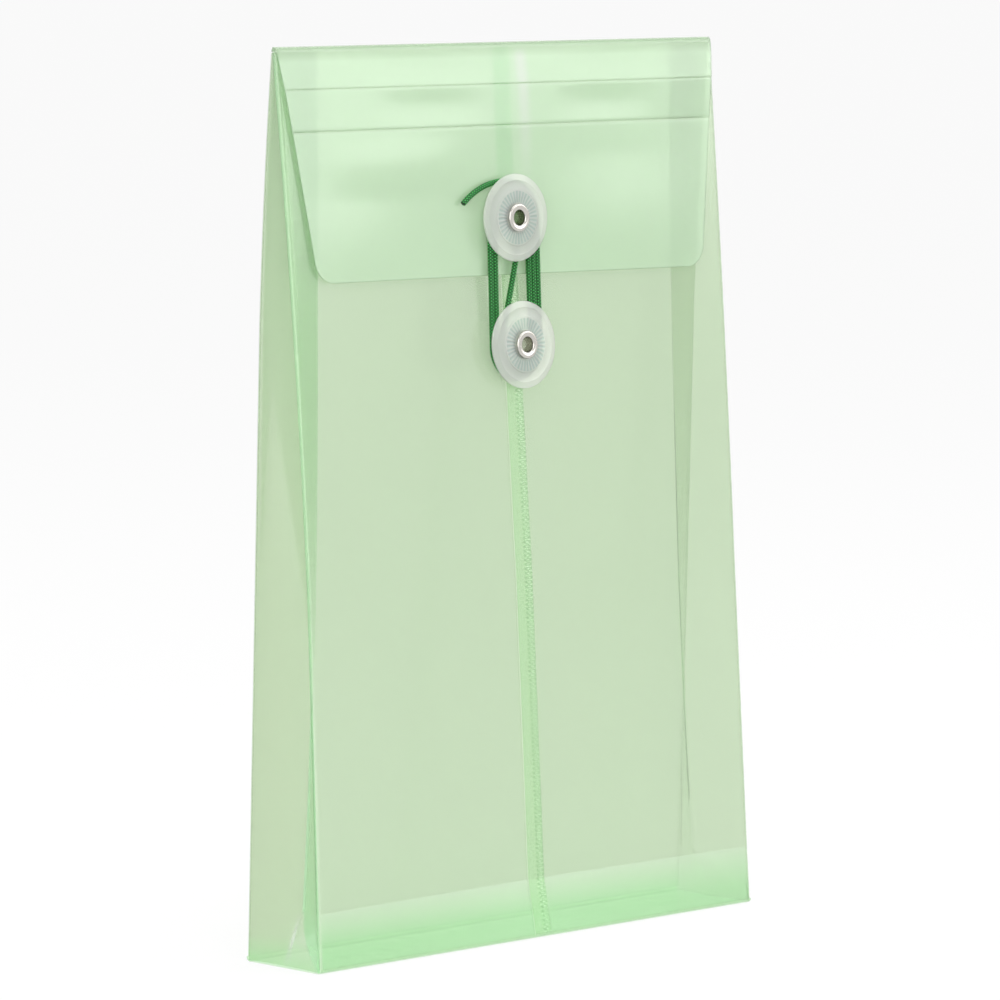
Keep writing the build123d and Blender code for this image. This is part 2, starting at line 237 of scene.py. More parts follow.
def objectNoise(nodes, links, scale, detail=2.0):
    place = nodes.new("ShaderNodeTexCoord")
    noise = nodes.new("ShaderNodeTexNoise")
    noise.inputs["Scale"].default_value = scale
    noise.inputs["Detail"].default_value = detail
    links.new(place.outputs["Object"], noise.inputs["Vector"])
    return noise.outputs["Fac"]


def bumpFrom(nodes, links, height, strength, shader):
    bump = nodes.new("ShaderNodeBump")
    bump.inputs["Strength"].default_value = strength
    bump.inputs["Distance"].default_value = 0.1 * mm
    links.new(height, bump.inputs["Height"])
    links.new(bump.outputs["Normal"], shader.inputs["Normal"])


def glossyPlastic(shader, f):
    # see-through plastic with its gloss in a coat
    shader.inputs["Roughness"].default_value = f["roughness"]
    shader.inputs["Transmission Weight"].default_value = f["transmission"]
    shader.inputs["IOR"].default_value = f["bend"]
    shader.inputs["Coat Weight"].default_value = 1
    shader.inputs["Coat IOR"].default_value = f["coatBend"]
    shader.inputs["Coat Roughness"].default_value = f["roughness"]


def filmFinish(f):
    material, nodes, links, shader = newMaterial("paleGreenFilm")
    # the tone attribute multiplies painted highlights, sheen, glow and shade into the colour
    tone = nodes.new("ShaderNodeAttribute")
    tone.attribute_name = "tone"
    tint = nodes.new("ShaderNodeVectorMath")
    tint.operation = "MULTIPLY"
    tint.inputs[0].default_value = f["colour"][:3]
    links.new(tone.outputs["Color"], tint.inputs[1])
    shader.inputs["Base Color"].default_value = f["colour"]
    links.new(tint.outputs["Vector"], shader.inputs["Base Color"])
    glossyPlastic(shader, f)
    for socket, plain, milky in (("Transmission Weight", "transmission", "milkyTransmission"),
                                 ("Coat Roughness", "roughness", "milkyRoughness")):
        share = nodes.new("ShaderNodeMapRange")
        share.inputs["To Min"].default_value = f[plain]
        share.inputs["To Max"].default_value = f[milky]
        links.new(tone.outputs["Alpha"], share.inputs["Value"])
        links.new(share.outputs["Result"], shader.inputs[socket])
    bumpFrom(nodes, links, objectNoise(nodes, links, f["grainScale"]), f["grainStrength"], shader)
    absorb = nodes.new("ShaderNodeVolumeAbsorption")
    absorb.inputs["Color"].default_value = f["absorbColour"]
    absorb.inputs["Density"].default_value = f["absorbDensity"]
    links.new(absorb.outputs[0], nodes["Material Output"].inputs["Volume"])
    return material


def discFinish(f):
    material, nodes, links, shader = newMaterial("milkyPlastic")
    shader.inputs["Base Color"].default_value = f["colour"]
    # painted shade over the ribbed ring, deepest between the ribs
    rib = nodes.new("ShaderNodeAttribute")
    rib.attribute_name = "rib"
    shade = nodes.new("ShaderNodeMix")
    shade.data_type = "RGBA"
    shade.inputs["A"].default_value = f["colour"]
    shade.inputs["B"].default_value = f["ribShadeColour"]
    links.new(rib.outputs["Fac"], shade.inputs["Factor"])
    links.new(shade.outputs["Result"], shader.inputs["Base Color"])
    glossyPlastic(shader, f)
    bumpFrom(nodes, links, objectNoise(nodes, links, f["grainScale"]), f["grainStrength"], shader)
    return material


def eyeletFinish(f):
    material, nodes, links, shader = newMaterial("brightNickel")
    shader.inputs["Base Color"].default_value = f["colour"]
    shader.inputs["Metallic"].default_value = 1
    rub = nodes.new("ShaderNodeMapRange")
    rub.inputs["To Min"].default_value, rub.inputs["To Max"].default_value = f["roughness"]
    links.new(objectNoise(nodes, links, f["scratchScale"], 4.0), rub.inputs["Value"])
    links.new(rub.outputs["Result"], shader.inputs["Roughness"])
    return material


def stringFinish(f):
    material, nodes, links, shader = newMaterial("braidedGreen")
    plait = nodes.new("ShaderNodeAttribute")
    plait.attribute_name = "plait"
    # painted shade in the grooves and painted highlight on the crests, by the plait value
    ramp = nodes.new("ShaderNodeValToRGB")
    for stop, position, shade in zip(ramp.color_ramp.elements, f["rampEnds"], (f["grooveShade"], f["plait"])):
        stop.position = position
        stop.color = shade
    links.new(plait.outputs["Fac"], ramp.inputs["Fac"])
    links.new(ramp.outputs["Color"], shader.inputs["Base Color"])
    shader.inputs["Roughness"].default_value = f["roughness"]
    shader.inputs["Sheen Weight"].default_value = f["sheen"]
    bumpFrom(nodes, links, objectNoise(nodes, links, f["fibreScale"]), f["fibreStrength"], shader)
    return material


filmMaterial = filmFinish(finishSet["film"])
discMaterial = discFinish(finishSet["disc"])
eyeletMaterial = eyeletFinish(finishSet["eyelet"])
stringMaterial = stringFinish(finishSet["string"])
print("finishes mixed")


# button seats, from the discs' joints
seats = {}
for joint in frame["record"]["behaviour"]["joints"]:
    if joint["name"].endswith("_disc_spin"):
        seats[joint["name"].split("_")[0]] = (Vector(joint["pos_m"]), Vector(joint["axis"]).normalized())


# string, wound flat round both hubs between the discs and the film
stringSet = {
    "diameter": 1.5,
    "height": 1.35,  # of its middle above the seats
    "firstTurn": 4.4,  # radius round a hub
    "turnStep": 1.62,
    "turns": 3,
    "turnOffset": 1.0,  # the turns round the lower hub sit this far to its left
    "startShare": 0.55,  # of a turn, where the tied end begins on the upper hub
    "tailReach": 16.9,
    "tailRise": 5.2,
    "tailBend": 22.0,
    "arcStep": 30.0,
    "smoothness": 16,
    "sides": 16,
    "ringStep": 0.1,
    "plaitLength": 0.8,
    "plaitsRound": 4,
    "plaitDepth": 0.2,
    "gatherDrop": 10.0,  # from the upper hub's middle down; the script doesn't gather the string
    "gathered": 0.14,  # of its length
}


def turnPoints(post, radius, start, end, step):
    # control points whose spline runs along the turn
    count = max(2, round(abs(end - start) / radians(step)))
    each = (end - start) / count
    reach = radius / cos(each / 2)
    angles = [start + (k + 0.5) * each for k in range(count)]
    return [post + Vector((cos(a), sin(a))) * reach for a in angles]


def touchAngle(start, startRadius, end, endRadius, side):
    # where a straight stretch leaves its first turn; a crossing one ends on a radius below 0
    between = end - start
    return atan2(between.y, between.x) + side * acos((startRadius - endRadius) / between.length)


def onTurn(post, radius, angle):
    return post + Vector((cos(angle), sin(angle))) * radius


def runPoints(start, end, step):
    # a straight stretch between two hubs: near its ends and in its middle
    along = (end - start).normalized()
    near = stringSet["firstTurn"] * tan(radians(step) / 2)
    return [start + along * near, (start + end) / 2, end - along * near]


def stringRoute(s, spacing):
    upper, lower = Vector((0, spacing / 2)), Vector((-s["turnOffset"], -spacing / 2))
    first, step, each = s["firstTurn"], s["turnStep"], s["arcStep"]
    lowerFirst = first + s["turnOffset"]
    cross = touchAngle(upper, first, lower, -lowerFirst, 1)
    start = cross + 2 * pi * s["startShare"]
    points = [onTurn(upper, first, start)]
    points += turnPoints(upper, first, start, cross, each)
    enter = pi + cross
    points += runPoints(onTurn(upper, first, cross), onTurn(lower, lowerFirst, enter), each)
    for turn in range(s["turns"]):
        inner = lowerFirst + turn * step
        outer = first + (turn + 1) * step
        rise = touchAngle(lower, inner, upper, outer, -1)
        points += turnPoints(lower, inner, enter, 2 * pi + rise, each)
        points += runPoints(onTurn(lower, inner, rise), onTurn(upper, outer, rise), each)
        if turn < s["turns"] - 1:
            below = inner + step
            enter = 2 * pi + touchAngle(upper, outer, lower, below, -1)
            points += turnPoints(upper, outer, rise, enter, each)
            points += runPoints(onTurn(upper, outer, enter), onTurn(lower, below, enter), each)
    # the free end opens into a wider bend
    tail = Vector((-s["tailReach"], s["tailRise"]))
    offset = s["tailBend"] - outer
    spread = s["tailBend"] ** 2 - tail.length ** 2 - offset ** 2
    leave = atan2(tail.y, tail.x) - acos(spread / (2 * offset * tail.length))
    points += turnPoints(upper, outer, rise, leave, each)
    centre = onTurn(upper, -offset, leave)
    fromCentre = upper + tail - centre
    end = atan2(fromCentre.y, fromCentre.x)
    points += turnPoints(centre, s["tailBend"], leave, end, each / 2)
    points.append(upper + tail)
    return points


def splinePoints(points, smoothness):
    # points read from a smooth spline through the route
    curve = bpy.data.curves.new("stringRoute", "CURVE")
    curve.dimensions = "3D"
    curve.resolution_u = smoothness
    spline = curve.splines.new("NURBS")
    spline.points.add(len(points) - 1)
    for point, place in zip(spline.points, points):
        point.co = (*place, 1)
    spline.order_u = 3
    spline.use_endpoint_u = True
    holder = bpy.data.objects.new("stringRoute", curve)
    scene.collection.objects.link(holder)
    bpy.context.view_layer.update()
    line = bpy.data.meshes.new_from_object(holder.evaluated_get(bpy.context.evaluated_depsgraph_get()))
    path = [v.co.copy() for v in line.vertices]
    bpy.data.meshes.remove(line)
    bpy.data.objects.remove(holder)
    return path


def evenPoints(path, step):
    # the same path in equal steps
    points, left = [path[0]], step
    for a, b in zip(path, path[1:]):
        length = (b - a).length
        while left <= length:
            points.append(a.lerp(b, left / length))
            left += step
        left -= length
    return points


def addString(s):
    upperSpot, upperAxis = seats["upper"]
    lowerSpot, lowerAxis = seats["lower"]
    upperMiddle = upperSpot + upperAxis * s["height"] * mm
    lowerMiddle = lowerSpot + lowerAxis * s["height"] * mm
    up = (upperMiddle - lowerMiddle).normalized()
    out = Vector((1, 0, 0)).cross(up).normalized()
    across = up.cross(out)
    middle = (upperMiddle + lowerMiddle) / 2
    flat = stringRoute(s, (upperMiddle - lowerMiddle).length / mm)
    path = splinePoints([middle + (across * p.x + up * p.y) * mm for p in flat], s["smoothness"])

    radius = s["diameter"] / 2 * mm
    sides = s["sides"]
    spine = evenPoints(path, s["ringStep"] * mm)
    rings, plaits, run = [], [], 0.0
    for k, here in enumerate(spine):
        before, after = spine[max(k - 1, 0)], spine[min(k + 1, len(spine) - 1)]
        run += (here - before).length / mm
        aside = out.cross((after - before).normalized())
        for side in range(sides):
            turn = 2 * pi * side / sides
            twist = 2 * pi * run / s["plaitLength"]
            lay = s["plaitsRound"] * turn
            plait = abs(cos((lay + twist) / 2)) * abs(cos((lay - twist) / 2))
            reach = radius * (1 + s["plaitDepth"] * (plait - 0.6))
            rings.append(here + (aside * cos(turn) + out * sin(turn)) * reach)
            plaits.append(plait)
    faces = []
    for k in range(len(spine) - 1):
        for side in range(sides):
            beside = (side + 1) % sides
            low, high = k * sides, (k + 1) * sides
            faces.append((low + side, high + side, high + beside, low + beside))
    faces.append(tuple(range(sides)))
    faces.append(tuple(reversed(range(len(rings) - sides, len(rings)))))
    mesh = bpy.data.meshes.new("string")
    mesh.from_pydata(rings, [], faces)
    mesh.polygons.foreach_set("use_smooth", [True] * len(mesh.polygons))
    mesh.attributes.new("plait", "FLOAT", "POINT").data.foreach_set("value", plaits)
    mesh.materials.append(stringMaterial)
    string = bpy.data.objects.new("braidedString", mesh)
    scene.collection.objects.link(string)
    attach(string, "flap_front")
    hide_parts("string")
    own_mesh(string)


addString(stringSet)


# film: lines down the pocket, each an arc from the mouth to a bend and then straight to the crease
pocketSet = {
    "thickness": 0.3,
    "topSetBack": 11.4,  # from the base's rear edge forward to the top line
    "foldRadius": 1.2,
    "foldGap": 0.1,  # between the fold along the top and the film below it
    "creaseHeight": 15.3,
    "flatHalf": 12.0,
    "softRise": 1.3,
    "edgeRoll": 0.9,
    "bendDepth": 139.0,
    "left": {"mouth": 0.8, "bend": 13.4, "bulge": 1.0, "setBack": 0.4},
    "middle": {"mouth": 0.45, "bend": 9.6, "bulge": -0.45, "setBack": 2.9},
    "right": {"mouth": 0.8, "bend": 10.9, "bulge": 0.5, "setBack": 1.0},
    "rear": {"mouth": -1.2, "bend": -6.1, "bulge": -0.45, "setBack": 28.5},
    "rearBendDepth": 70.0,
    "rearFoot": 0.65,
    "rearTopDrop": 0.2,
    "seamHalf": 3.0,
    "seamLift": 0.35,
    "lapInset": 0.4,
    "apexHeight": 14.0,
    "leafWidth": 15.3,
    "leafTopDrop": 0.05,
    "holeRadius": 2.45,
    "punchDepth": 8.0,
    "smoothAngle": 35.0,
    # tones that multiply the film's colour, and their milkiness, mostly painted glow, highlights, sheen and
    # shade
    "foldGlowTone": (0.92, 1.138, 0.97, 0.7),  # painted glow, brighter green, where folded layers lie together
    "clearTone": (1.04, 1.03, 1.04, 0),
    # painted shade, darker and tan low on the side
    "sideShadeTone": (0.965, 0.96, 0.93, 0),
    # painted highlight along the front film's rolled edges
    "paintedEdgeTone": (1.1, 1.12, 1.12, 0.4),
    # painted sheen just under the front crease
    "creaseHighlightTone": (1.08, 1.1, 1.1, 0.6),
    # painted shade, deeper green, at the foot of the front film
    "paintedFootTone": (0.83, 1.04, 0.86, 0),
    "footStrength": 1.5,
    # painted shade, deeper green, over the base and the film just above it
    "baseShadeTone": (0.89, 1.04, 0.9, 0),
    "baseBlend": 7.0,
    # painted sheen, lighter over the tuck
    "tuckSheenTone": (1.08, 1.06, 1.08, 0.3),
}
p = pocketSet
halfWidth = cadHigh.x / mm
faceHeight = cadHigh.z / mm
rearY = cadHigh.y / mm
frontY = cadLow.y / mm
topY = rearY - p["topSetBack"]
foldHeight = faceHeight - p["foldRadius"]
filmTop = foldHeight - p["foldGap"]
cornerRadius = p["foldRadius"]


def steps(start, end, count):
    return [start + (end - start) * k / count for k in range(count + 1)]


def lineY(name, z):
    line = p[name]
    bendZ = faceHeight - (p["rearBendDepth"] if name == "rear" else p["bendDepth"])
    footZ = p["rearFoot"] if name == "rear" else p["creaseHeight"]
    footY, bendY = frontY + line["setBack"], topY - line["bend"]
    if z <= bendZ:
        return footY + (bendY - footY) * (z - footZ) / (bendZ - footZ)
    share = (z - bendZ) / (filmTop - bendZ)
    straight = bendY + (topY - line["mouth"] - bendY) * share
    return straight - 4 * line["bulge"] * share * (1 - share)


def awayFromMiddle(x):
    return max(0, (abs(x) - p["flatHalf"]) / (halfWidth - p["flatHalf"])) ** p["softRise"]


def frontFilm(x, z):
    middle = lineY("middle", max(z, p["creaseHeight"]))
    side = lineY("left" if x < 0 else "right", max(z, p["creaseHeight"]))
    y = middle + (side - middle) * awayFromMiddle(x)
    if z < p["creaseHeight"]:
        share = (p["creaseHeight"] - z) / (p["creaseHeight"] - cornerRadius)
        y += (frontY - y) * share
    return y


def edgeRoll(x):
    into = max(0, abs(x) - halfWidth + p["edgeRoll"])
    return p["edgeRoll"] - sqrt(max(0, p["edgeRoll"] ** 2 - into ** 2))


def rolledColumns(start, end, count):
    # from the middle out to a side, with finer columns round the rolled edge
    side = 1 if end > 0 else -1
    inner = steps(start, side * (halfWidth - p["edgeRoll"]), count)
    rolled = [side * (halfWidth - p["edgeRoll"] * (1 - sin(radians(a)))) for a in (18, 36, 54, 72, 90)]
    return inner + rolled


plain = (1, 1, 1, 0)  # red, green, blue and milkiness of a tone


def plainTone(across, along):
    return plain


def mixTone(tone, share, other=plain):
    share = min(1, max(0, share))
    return tuple(o + (t - o) * share for t, o in zip(tone, other))


def filmSheet(name, across, along, place, toneAt=plainTone):
    bpy.ops.object.select_all(action="DESELECT")
    cells, rows = len(across) - 1, len(along) - 1
    bpy.ops.mesh.primitive_grid_add(x_subdivisions=cells, y_subdivisions=rows, size=1)
    sheet = bpy.context.object
    sheet.name = name
    tones = []
    for v in sheet.data.vertices:
        column, row = round((v.co.x + 0.5) * cells), round((v.co.y + 0.5) * rows)
        v.co = Vector(place(across[column], along[row])) * mm
        tones += toneAt(across[column], along[row])
    sheet.data.attributes.new("tone", "FLOAT_COLOR", "POINT").data.foreach_set("color", tones)
    wall = sheet.modifiers.new("wall", "SOLIDIFY")
    wall.thickness = p["thickness"] * mm
    wall.offset = -1
    bpy.ops.object.modifier_apply(modifier=wall.name)
    bpy.ops.object.shade_smooth_by_angle(angle=radians(p["smoothAngle"]))
    sheet.data.materials.append(filmMaterial)
    return sheet


def punchHole(sheet, seat):
    spot, axis = seats[seat]
    turn = axis.to_track_quat("Z", "Y").to_euler()
    bpy.ops.object.select_all(action="DESELECT")
    bpy.ops.mesh.primitive_cylinder_add(vertices=48, radius=p["holeRadius"] * mm,
                                        depth=p["punchDepth"] * mm, location=spot, rotation=turn)
    punch = bpy.context.object
    cut = sheet.modifiers.new("hole", "BOOLEAN")
    cut.operation = "DIFFERENCE"
    cut.object = punch
    bpy.context.view_layer.objects.active = sheet
    bpy.ops.object.modifier_apply(modifier=cut.name)
    bpy.data.objects.remove(punch)


def settle(piece, body, slot, *nodes):
    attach(piece, body)
    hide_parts(*nodes)


# front film: two halves lapped and welded down the middle, creased across above the base
footRows = steps(cornerRadius, p["creaseHeight"] - 0.5, 8)
creaseRows = [p["creaseHeight"] - 0.2, p["creaseHeight"], p["creaseHeight"] + 0.2]
frontRows = footRows + creaseRows + steps(p["creaseHeight"] + 0.5, filmTop, 72)


def paintedFootTone(x, z):
    # painted sheen just under the crease, then painted shade, deeper green, towards the base
    if z > p["creaseHeight"]:
        return plain
    return mixTone(p["paintedFootTone"], p["footStrength"] * (1 - z / p["creaseHeight"]), p["creaseHighlightTone"])


def frontTone(x, z):
    # painted highlight along the rolled edge, over the foot's painted sheen and shade
    into = 1 - (halfWidth - abs(x)) / p["edgeRoll"]
    return mixTone(p["paintedEdgeTone"], into, paintedFootTone(x, z))


def frontPlace(x, z):
    return x, frontFilm(x, z) + edgeRoll(x), z


leftColumns = rolledColumns(-p["seamHalf"], -halfWidth, 32)[::-1]
frontLeft = filmSheet("frontFilmLeft", leftColumns, frontRows, frontPlace, frontTone)
punchHole(frontLeft, "lower")
settle(frontLeft, "pocket", "film", "front_panel_left")
rightColumns = rolledColumns(-p["seamHalf"] + p["lapInset"], halfWidth, 32)
frontRight = filmSheet("frontFilmRight", rightColumns, frontRows, frontPlace, frontTone)
punchHole(frontRight, "lower")
settle(frontRight, "pocket", "film", "front_panel_right", "front_foot_strip")


# welded seam, with a row of pressed ovals down it
seamSet = {
    "ovalAside": 1.5,
    "ovalWidth": 2.6,
    "ovalPitch": 1.17,
    "ovalHeight": 0.95,
    "relief": 0.09,
    "ringAt": 0.8,  # share of an oval's half width, and the ring's own half width
    "ringHalf": 0.35,
    "edgeWidth": 0.25,
    "edgeLift": 0.6,
    "tone": (1.04, 1.11, 1.05, 0),
    "ovalTone": (0.66, 0.86, 0.66, 0),
    "flapShadeTone": (0.78, 1.1, 0.81, 0),  # painted shade on the seam under the flap
    "flapShadeDepth": 51.4,
    "flapShadeFade": 20.0,
    "rowsPerOval": 8,
    "columns": 32,
}


def ovalRelief(x, z, s):
    # a raised ring round each pressed oval
    fromOval = (z / s["ovalPitch"] + 0.5) % 1 - 0.5
    aside = x - s["ovalAside"]
    down = fromOval * s["ovalPitch"]
    ring = sqrt((2 * aside / s["ovalWidth"]) ** 2 + (2 * down / s["ovalHeight"]) ** 2)
    return s["relief"] * max(0, 1 - abs(ring - s["ringAt"]) / s["ringHalf"])


def seamPlace(x, z):
    s = seamSet
    edge = min(1, (p["seamHalf"] - abs(x)) / s["edgeWidth"])
    lift = p["seamLift"] * (s["edgeLift"] + (1 - s["edgeLift"]) * edge)
    return x, frontFilm(x, z) - lift - ovalRelief(x, z, s) * edge, z


def seamTone(x, z):
    s = seamSet
    # painted shade on the seam under the flap, fading downwards
    flapShadeShare = (z - faceHeight + s["flapShadeDepth"]) / s["flapShadeFade"]
    tone = mixTone(s["flapShadeTone"], flapShadeShare, s["tone"])
    pressed = ovalRelief(x, z, s) / s["relief"] * (1 - max(0, flapShadeShare))
    return mixTone(s["ovalTone"], pressed, tone)


seamRows = round((filmTop - cornerRadius) / seamSet["ovalPitch"] * seamSet["rowsPerOval"])
seam = filmSheet("weldedSeam", steps(-p["seamHalf"], p["seamHalf"], seamSet["columns"]),
                 steps(cornerRadius, filmTop, seamRows), seamPlace, seamTone)
punchHole(seam, "lower")
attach(seam, "pocket")
print("front film made")


# rear film
# painted shade, deeper green towards the base
def baseShadeTone(x, z):
    return mixTone(p["baseShadeTone"], 1 - z / p["baseBlend"])


def rearPlace(x, z):
    return x, lineY("rear", z) - edgeRoll(x), z


rearColumns = rolledColumns(0, -halfWidth, 24)[::-1] + rolledColumns(0, halfWidth, 24)[1:]
rearRows = steps(cornerRadius, filmTop - p["rearTopDrop"], 60)
rear = filmSheet("rearFilm", rearColumns[::-1], rearRows, rearPlace, baseShadeTone)
settle(rear, "rear", "film", "back_panel")


# base, folded up round its front and rear edges
def basePlace(x, row):
    angle, y = row
    if angle:
        side = 1 if y > 0 else -1
        return x, y + side * cornerRadius * sin(angle), cornerRadius * (1 - cos(angle))
    return x, y, 0


flatEnd = rearY - cornerRadius
foldAngles = [radians(a) for a in (90, 72, 54, 36, 18)]
baseRows = [(a, -flatEnd) for a in foldAngles] + [(0, y) for y in steps(-flatEnd, flatEnd, 20)]
baseRows += [(a, flatEnd) for a in reversed(foldAngles)]
# the base film takes the painted shade all over
base = filmSheet("baseFilm", steps(-halfWidth, halfWidth, 50), baseRows[::-1], basePlace,
                 lambda x, row: p["baseShadeTone"])
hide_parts("base_panel")


def bendBetween(piece, rearEnd, frontEnd):
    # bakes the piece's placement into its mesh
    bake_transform(piece)


bendBetween(base, rearY, frontY)


# side gussets: one sheet each, folded in between front and rear film, with a tuck down to the base
gussetSet = {
    "slack": 0.7,  # the leaves lie this much narrower at the foot
    "slackHeight": 90.0,
    "foldShare": 0.97,  # of a leaf's width, where the round of the inner fold begins
    "rollShare": 0.13,  # of a leaf's width, that turns in from the film's rolled edge
    "rollReach": 0.8,
    "footShare": 0.14,  # of the fold's depth, left at the base
    "footHeight": 0.4,
    "footReach": 0.03,
    "sideFade": 110.0,  # height at which the painted shade on the side begins to fade upwards
    # painted highlight along the rear leaf's inner fold near the tuck
    "creaseHighlightTone": (1.24, 1.135, 1.32, 1),
    "follows": (13.4, -9.0),  # handed to bendBetween as rearEnd and frontEnd
}


def gussetEdges(side, z):
    front = lineY("left" if side < 0 else "right", max(z, p["creaseHeight"]))
    if z < p["creaseHeight"]:
        front += (frontY - front) * (p["creaseHeight"] - z) / (p["creaseHeight"] - cornerRadius)
    return front + p["edgeRoll"], lineY("rear", max(z, cornerRadius)) - p["edgeRoll"]


def gussetFold(side, z):
    g = gussetSet
    front, back = gussetEdges(side, z)
    width = p["leafWidth"] - g["slack"] * max(0, 1 - z / g["slackHeight"])
    depth = sqrt(max(0.01, width ** 2 - ((back - front) / 2) ** 2))
    if z < p["apexHeight"]:
        depth *= g["footShare"] + (1 - g["footShare"]) * z / p["apexHeight"]
    return Vector((side * (halfWidth - depth), (front + back) / 2, z))


def leafPoint(edge, fold, share, towards):
    # a point of a leaf, which leaves the film's rolled edge in the film's own direction
    roll = gussetSet["rollShare"]
    if share >= roll:
        return edge.lerp(fold, share)
    turn = edge + Vector((0, towards * gussetSet["rollReach"], 0))
    t = share / roll
    return edge.lerp(turn, t).lerp(turn.lerp(edge.lerp(fold, roll), t), t)


def addGusset(side, sideName):
    g = gussetSet
    apex = p["apexHeight"]
    rows = steps(g["footHeight"], apex, 16) + steps(apex, filmTop - p["leafTopDrop"], 60)[1:]
    leaf = steps(0, g["rollShare"], 5) + steps(g["rollShare"], 1, 9)[1:]
    columns = [("front", u) for u in leaf] + [("tuck", u) for u in steps(0, 1, 8)[1:-1]]
    columns += [("rear", u) for u in reversed(leaf)]
    if side > 0:
        columns.reverse()

    def place(column, z):
        part, u = column
        front, back = gussetEdges(side, z)
        fold = gussetFold(side, z)
        frontEdge = Vector((side * halfWidth, front, z))
        rearEdge = Vector((side * halfWidth, back, z))
        reach = g["foldShare"] * min(1, max(g["footReach"], z / apex))
        if part == "front":
            return leafPoint(frontEdge, frontEdge.lerp(fold, reach), u, 1)
        if part == "rear":
            return leafPoint(rearEdge, rearEdge.lerp(fold, g["foldShare"]), u, -1)
        return frontEdge.lerp(fold, reach).lerp(rearEdge.lerp(fold, g["foldShare"]), u)

    def toneAt(column, z):
        part, u = column
        if side > 0:
            # painted sheen on the tuck
            return p["tuckSheenTone"] if part == "tuck" else p["clearTone"]
        if part == "rear":
            # painted highlight along the inner fold, strongest halfway up the tuck
            crease = 1 - abs(z - apex / 2) / apex * 2 if u == 1 else 0
            # painted shade: darker and tan low on the side, deeper green towards the base
            tone = mixTone(p["sideShadeTone"], 2 - z / g["sideFade"], p["clearTone"])
            tone = mixTone(p["baseShadeTone"], 1 - z / p["baseBlend"], tone)
            return mixTone(g["creaseHighlightTone"], crease, tone)
        # the tuck's painted sheen, with painted shade towards the base
        if part == "tuck" and z < apex:
            return mixTone(p["baseShadeTone"], 1 - z / p["baseBlend"], p["tuckSheenTone"])
        # painted glow over the front leaf and the tuck above the apex
        return p["foldGlowTone"]

    gusset = filmSheet(sideName + "Gusset", columns[::-1], rows, place, toneAt)
    bendBetween(gusset, *g["follows"])
    parts = ("gusset_front_leaf", "gusset_rear_leaf", "base_tuck")
    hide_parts(*[f"{sideName}_{part}" for part in parts])


addGusset(-1, "left")
addGusset(1, "right")
print("rear film, base and gussets made")


# flap, in three stretches between two score lines
flapSet = {
    "firstScore": 10.8,
    "secondScore": 21.6,
    "depth": 61.4,
    "tipWidth": 142.0,
    "tipLeftRise": 1.4,
    "cornerRadius": 5.5,
    "startReach": 1.2,  # forward of the top line
    "firstReach": (2.927, 2.595),  # left and right
    "secondReach": (4.181, 3.101),
    "tipReach": (8.144, 5.101, 6.2),  # left, middle and right
    # lighter and milkier over the whole flap: a painted sheen
    "tone": (1.08, 1.138, 1.11, 1),
    # painted shade along the score lines
    "scoreShadeTone": (0.9, 0.96, 0.9, 1),
    "creaseHighlightTone": (1.24, 1.139, 1.32, 1),  # painted highlight down from the top, beside the soft ridge
    "highlightAt": 6.3,
    "highlightHalf": 3.2,
    "highlightEnd": 46.0,
    # painted shade along the flap's cut edges
    "paintedEdgeTone": (0.72, 0.82, 0.72, 1),
    "edgeBand": 0.1,
    "topShadeTone": (0.9, 0.97, 0.9, 0.8),  # painted shade just under the fold along the top
    "topBand": 4.0,
    "topStrength": 1.5,
    "scoreGroove": 0.06,
    "scoreWidth": 0.5,
    "scoreLine": 0.2,
    "scoreGap": 0.04,  # between two stretches
    "reliefStart": 2.0,
    "ridge": 0.12,
    "ridgeAt": 5.0,
    "ridgeWidths": (9.0, 32.0),  # left and right
    "ridgeEnd": 34.0,
    # soft swells: x, depth down the flap, half width, half height, rise
    "swells": ((-32, 5.8, 40, 5, -0.22), (42, 5.8, 34, 5, -0.18), (-28, 16.2, 26, 5.4, -0.3),
               (36, 16.2, 22, 5.4, -0.25), (-42, 31, 36, 9.4, 0.45), (-58, 52, 26, 20, 0.4),
               (40, 50, 36, 22, 0.65)),
}
flapStart = p["foldRadius"] + p["foldGap"]


def flapReach(x, depth):
    f = flapSet
    share = (x + halfWidth) / (2 * halfWidth)
    first = f["firstReach"][0] + (f["firstReach"][1] - f["firstReach"][0]) * share
    second = f["secondReach"][0] + (f["secondReach"][1] - f["secondReach"][0]) * share
    if depth < f["firstScore"]:
        down = (depth - flapStart) / (f["firstScore"] - flapStart)
        return f["startReach"] + (first - f["startReach"]) * down
    if depth < f["secondScore"]:
        return first + (second - first) * (depth - f["firstScore"]) / (f["secondScore"] - f["firstScore"])
    left, middle, right = f["tipReach"]
    tip = middle + ((left if x < 0 else right) - middle) * awayFromMiddle(x)
    return second + (tip - second) * (depth - f["secondScore"]) / (f["depth"] - f["secondScore"])


def bell(t):
    return (1 - t * t) ** 2 if abs(t) < 1 else 0


def flapRelief(x, depth):
    f = flapSet
    aside = x - f["ridgeAt"]
    down = max(0, depth - flapStart)
    rise = f["ridge"] * bell(aside / f["ridgeWidths"][aside > 0]) * bell(down / f["ridgeEnd"])
    for sx, sd, wide, high, lift in f["swells"]:
        rise += lift * bell((x - sx) / wide) * bell((depth - sd) / high)
    for score in (f["firstScore"], f["secondScore"]):
        rise -= f["scoreGroove"] * max(0, 1 - abs(depth - score) / f["scoreWidth"])
    return rise * min(1, down / f["reliefStart"])


